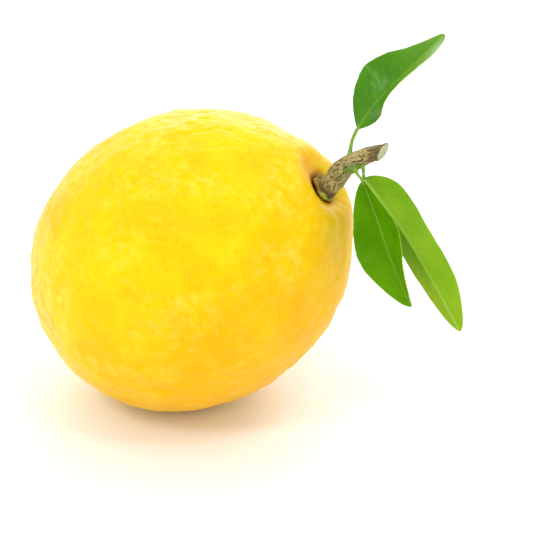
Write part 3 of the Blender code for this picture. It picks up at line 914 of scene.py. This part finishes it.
def blade(spec, s, v):
    """Middle surface of the blade, its normals and half widths, on a grid of s by v."""
    place, direction = bezier(spec["midrib"], s[:, None])
    mix = s[:, None]
    face = np.array(spec["faces"][0]) * (1 - mix) + np.array(spec["faces"][1]) * mix
    face -= direction * (face * direction).sum(axis=1, keepdims=True)
    face /= np.linalg.norm(face, axis=1, keepdims=True)
    side = np.cross(direction, face)
    folds = [np.radians(through_three(values, s))[:, None] for values in spec["folds"]]
    fold = np.where(v[None, :] < 0.0, *folds)
    reach = half_width(spec, s)
    rise = np.sqrt(v * v + FOLD_SOFTNESS ** 2) - FOLD_SOFTNESS
    halves = np.column_stack([s * 7.0, np.zeros_like(s), np.zeros_like(s)])
    left, right = (noise_at(halves + shift, 1.0, 3, spec["half_width"]) for shift in (0.0, 31.0))
    wave = LEAF_WAVE * np.where(v[None, :] < 0.0, left[:, None], right[:, None]) * (v * v)[None, :]
    wave *= smooth_step(s, 0.0, 0.15)[:, None] * smooth_step(s, 1.0, 0.9)[:, None]
    across = reach[:, None] * np.cos(fold) * v[None, :]
    up = reach[:, None] * np.sin(fold) * rise[None, :] + wave
    surface = place[:, None] + side[:, None] * across[:, :, None] + face[:, None] * up[:, :, None]
    along_rows, along_columns = np.gradient(surface, axis=0), np.gradient(surface, axis=1)
    normals = np.cross(along_rows, along_columns)
    normals /= np.maximum(np.linalg.norm(normals, axis=2, keepdims=True), 1e-9)
    if (normals * face[:, None]).sum() < 0:
        normals = -normals
    return surface, normals, reach


def vein_pattern(spec, s, v, reach):
    """How strongly each point lies on the midrib and on a side vein, and the puff between them."""
    distance = np.abs(v)[None, :] * reach[:, None]
    midrib_width = (MIDRIB_WIDTH * (1.0 - MIDRIB_TAPER * s))[:, None]
    midrib = near(distance, 0.0, midrib_width)
    length = 1.0 / spec["veins"]
    lean = VEIN_LEAN + VEIN_CURVE * np.abs(v)[None, :]
    start = s[:, None] - np.abs(v)[None, :] * lean + 0.02 * np.sin(9 * s)[:, None]
    stagger = 0.5 * (v[None, :] > 0)
    phase = start / length + stagger
    nearest = np.abs(phase - np.round(phase)) * length * BLADE_SPAN
    side = near(nearest, 0.0, VEIN_WIDTH) * (1.0 - 0.75 * np.abs(v)[None, :] ** 2)
    side *= smooth_step(start, 0.0, 0.05) * smooth_step(s, 1.0, 0.9)[:, None]
    puff = np.cos(2 * math.pi * phase) * -0.5 * (np.abs(v) * (1 - np.abs(v)) * 4)[None, :]
    return midrib, side, puff


def make_leaf(name, spec, material):
    """Two skins with the veins in relief, joined round the margin."""
    s = 0.5 - 0.5 * np.cos(np.linspace(0.0, math.pi, LEAF_ROWS))
    v = np.sin(np.linspace(-math.pi / 2, math.pi / 2, LEAF_COLUMNS))
    surface, normals, reach = blade(spec, s, v)
    midrib, side, puff = vein_pattern(spec, s, v, reach)
    margin = np.sqrt(np.clip(1.0 - np.abs(v) ** 6, 0.0, 1.0))[None, :]
    ends = (smooth_step(s, 0.0, 0.012) * smooth_step(s, 1.0, 0.99))[:, None]
    half_thickness = LEAF_THICKNESS / 2 * (0.25 + 0.75 * margin) * (0.4 + 0.6 * ends)
    thinner = (1.0 - 0.6 * s)[:, None]
    top = half_thickness + PUFF_HEIGHT * puff - VEIN_GROOVE * side - MIDRIB_GROOVE * midrib
    low = half_thickness - PUFF_HEIGHT * puff + VEIN_RIDGE * side + MIDRIB_RIDGE * midrib * thinner
    upper = surface + normals * top[:, :, None]
    lower = surface - normals * low[:, :, None]
    rows, columns = LEAF_ROWS, LEAF_COLUMNS
    count = rows * columns
    verts = np.vstack([upper.reshape(-1, 3), lower.reshape(-1, 3)])
    faces = grid_faces(rows, columns, False)
    faces += [tuple(count + i for i in reversed(face)) for face in faces]
    border = ([i * columns for i in range(rows)] + [(rows - 1) * columns + j for j in range(1, columns)]
              + [i * columns + columns - 1 for i in range(rows - 2, -1, -1)]
              + [j for j in range(columns - 2, 0, -1)])
    for here, there in zip(border, border[1:] + border[:1]):
        faces.append((here, there, count + there, count + here))
    leaf = new_mesh_object("lemon_" + name, verts, faces)
    make_normals_outward(leaf)
    vein_above = np.clip(midrib * spec["midrib_light"] + side * 0.10, 0, 1)
    vein_below = np.clip(midrib * 1.6 + side * 0.18, 0, 1)
    # One half painted apart as light and shade: painted shade from the front leaf near the back leaf's
    # base, a paler painted half on the upper leaf.
    tint_side, strength, tint_from, tint_to = spec["light_and_shade_half"]
    light_and_shade_amount = strength * (smooth_step(v * tint_side, -0.08, 0.12)[None, :]
                       * smooth_step(s, tint_from, tint_to)[:, None])
    # A lighter margin round the blade: partly pale, partly painted highlight on the lit rim.
    margin_and_rim_light = np.repeat(smooth_step(np.abs(v), 0.985, 1.0)[None, :], rows, axis=0)
    toward_tip = np.repeat(smooth_step(s, 0.45, 1.0)[:, None], columns, axis=1)
    for key, grid in (("margin_and_rim_light", margin_and_rim_light), ("reach", toward_tip), ("half_light_and_shade", light_and_shade_amount)):
        add_values(leaf, key, np.tile(grid.ravel(), 2))
    add_values(leaf, "vein", np.concatenate([vein_above.ravel(), vein_below.ravel()]))
    add_values(leaf, "below", np.concatenate([np.zeros(count), np.ones(count)]))
    finish_piece(leaf, name, "leaf_green", material)


# ---------------------------------------------------------------- floor, light and camera

VIEW_TURN, VIEW_RISE = math.radians(17.5), math.radians(25.0)
VIEW_DISTANCE = 340.0
LENS, SENSOR = 100.0, 36.0
AIM_RIGHT, AIM_UP = 19.44, -1.33
FLOOR_HALF_SIZE, FLOOR_DROP, FLOOR_WHITE, FLOOR_ROUGHNESS = 3.0, 0.0001, 0.98, 0.6
WORLD_STRENGTH = 1.0
# Each light's place, in metres from the fruit: right, up and back to the camera; size; watts.
LIGHTS = (
    ("key", -0.46, 0.46, 0.76, 0.20, 1.5),
    ("fill", 0.24, 0.70, 0.67, 0.18, 1.0),
    ("softbox_left", -0.35, 0.90, 0.25, 0.42, 0.3),
    ("softbox_right", 0.55, 0.80, 0.20, 0.42, 0.9),
    ("backlight", 0.15, 0.66, -0.60, 0.8, 2.6),
)


def view_directions():
    """The camera's right, its up, and the way back to it from the fruit."""
    level = math.cos(VIEW_RISE)
    back = Vector((math.sin(VIEW_TURN) * level, -math.cos(VIEW_TURN) * level, math.sin(VIEW_RISE)))
    right = Vector((math.cos(VIEW_TURN), math.sin(VIEW_TURN), 0.0))
    return right, back.cross(right), back


def make_camera():
    right, up, back = view_directions()
    data = bpy.data.cameras.new("camera")
    data.lens = LENS
    data.sensor_width = SENSOR
    data.clip_start = 0.01
    camera = add_object("camera", data)
    target = Vector(MIDDLE) + right * AIM_RIGHT + up * AIM_UP
    turn = Matrix((right, up, back)).transposed().to_4x4()
    camera.matrix_world = Matrix.Translation((target + back * VIEW_DISTANCE) * MM) @ turn
    bpy.context.scene.camera = camera


def add_area_light(name, right, up, back, size, watts):
    """A square soft light that faces the fruit."""
    directions = view_directions()
    data = bpy.data.lights.new(name, "AREA")
    data.size = size
    data.energy = watts
    light = add_object(name, data)
    aim = Vector(MIDDLE) * MM
    offset = directions[0] * right + directions[1] * up + directions[2] * back
    light.location = aim + offset
    light.rotation_euler = offset.to_track_quat("Z", "Y").to_euler()
    light.visible_camera = False


def make_stage():
    """A plain white floor, a white world and the soft lights."""
    bm = bmesh.new()
    bmesh.ops.create_grid(bm, x_segments=8, y_segments=8, size=FLOOR_HALF_SIZE)
    mesh = bpy.data.meshes.new("floor")
    bm.to_mesh(mesh)
    bm.free()
    floor = add_object("floor", mesh)
    floor.location = (0.0, 0.0, -FLOOR_DROP)
    material, _, shader = new_material("white_table")
    shader.inputs["Base Color"].default_value = (FLOOR_WHITE, FLOOR_WHITE, FLOOR_WHITE, 1.0)
    shader.inputs["Roughness"].default_value = FLOOR_ROUGHNESS
    mesh.materials.append(material)
    world = bpy.data.worlds.new("studio")
    world.use_nodes = True
    background = world.node_tree.nodes["Background"]
    background.inputs["Color"].default_value = (1.0, 1.0, 1.0, 1.0)
    background.inputs["Strength"].default_value = WORLD_STRENGTH
    bpy.context.scene.world = world
    bpy.context.scene.view_settings.view_transform = "Standard"
    for light in LIGHTS:
        add_area_light(*light)


def main():
    make_fruit()
    make_calyx()
    make_twig()
    shoot = green_wood_material("lemon_shoot", SHOOT_DARK, SHOOT_LIGHT, 0.5)
    stalk = green_wood_material("lemon_stalk", STALK_DARK, STALK_LIGHT, 0.42)
    make_tube("side_shoot", SHOOT_POINTS, SHOOT_RADII, 40, "shoot_green", shoot, 0.14)
    for name, (points, radii) in STALKS.items():
        make_tube(name, points, radii, 28, "stalk_green", stalk, 0.04)
    for name, spec in LEAVES.items():
        make_leaf(name, spec, leaf_material("lemon_" + name, LEAF_LOOKS[name]))
    make_camera()
    make_stage()


main()
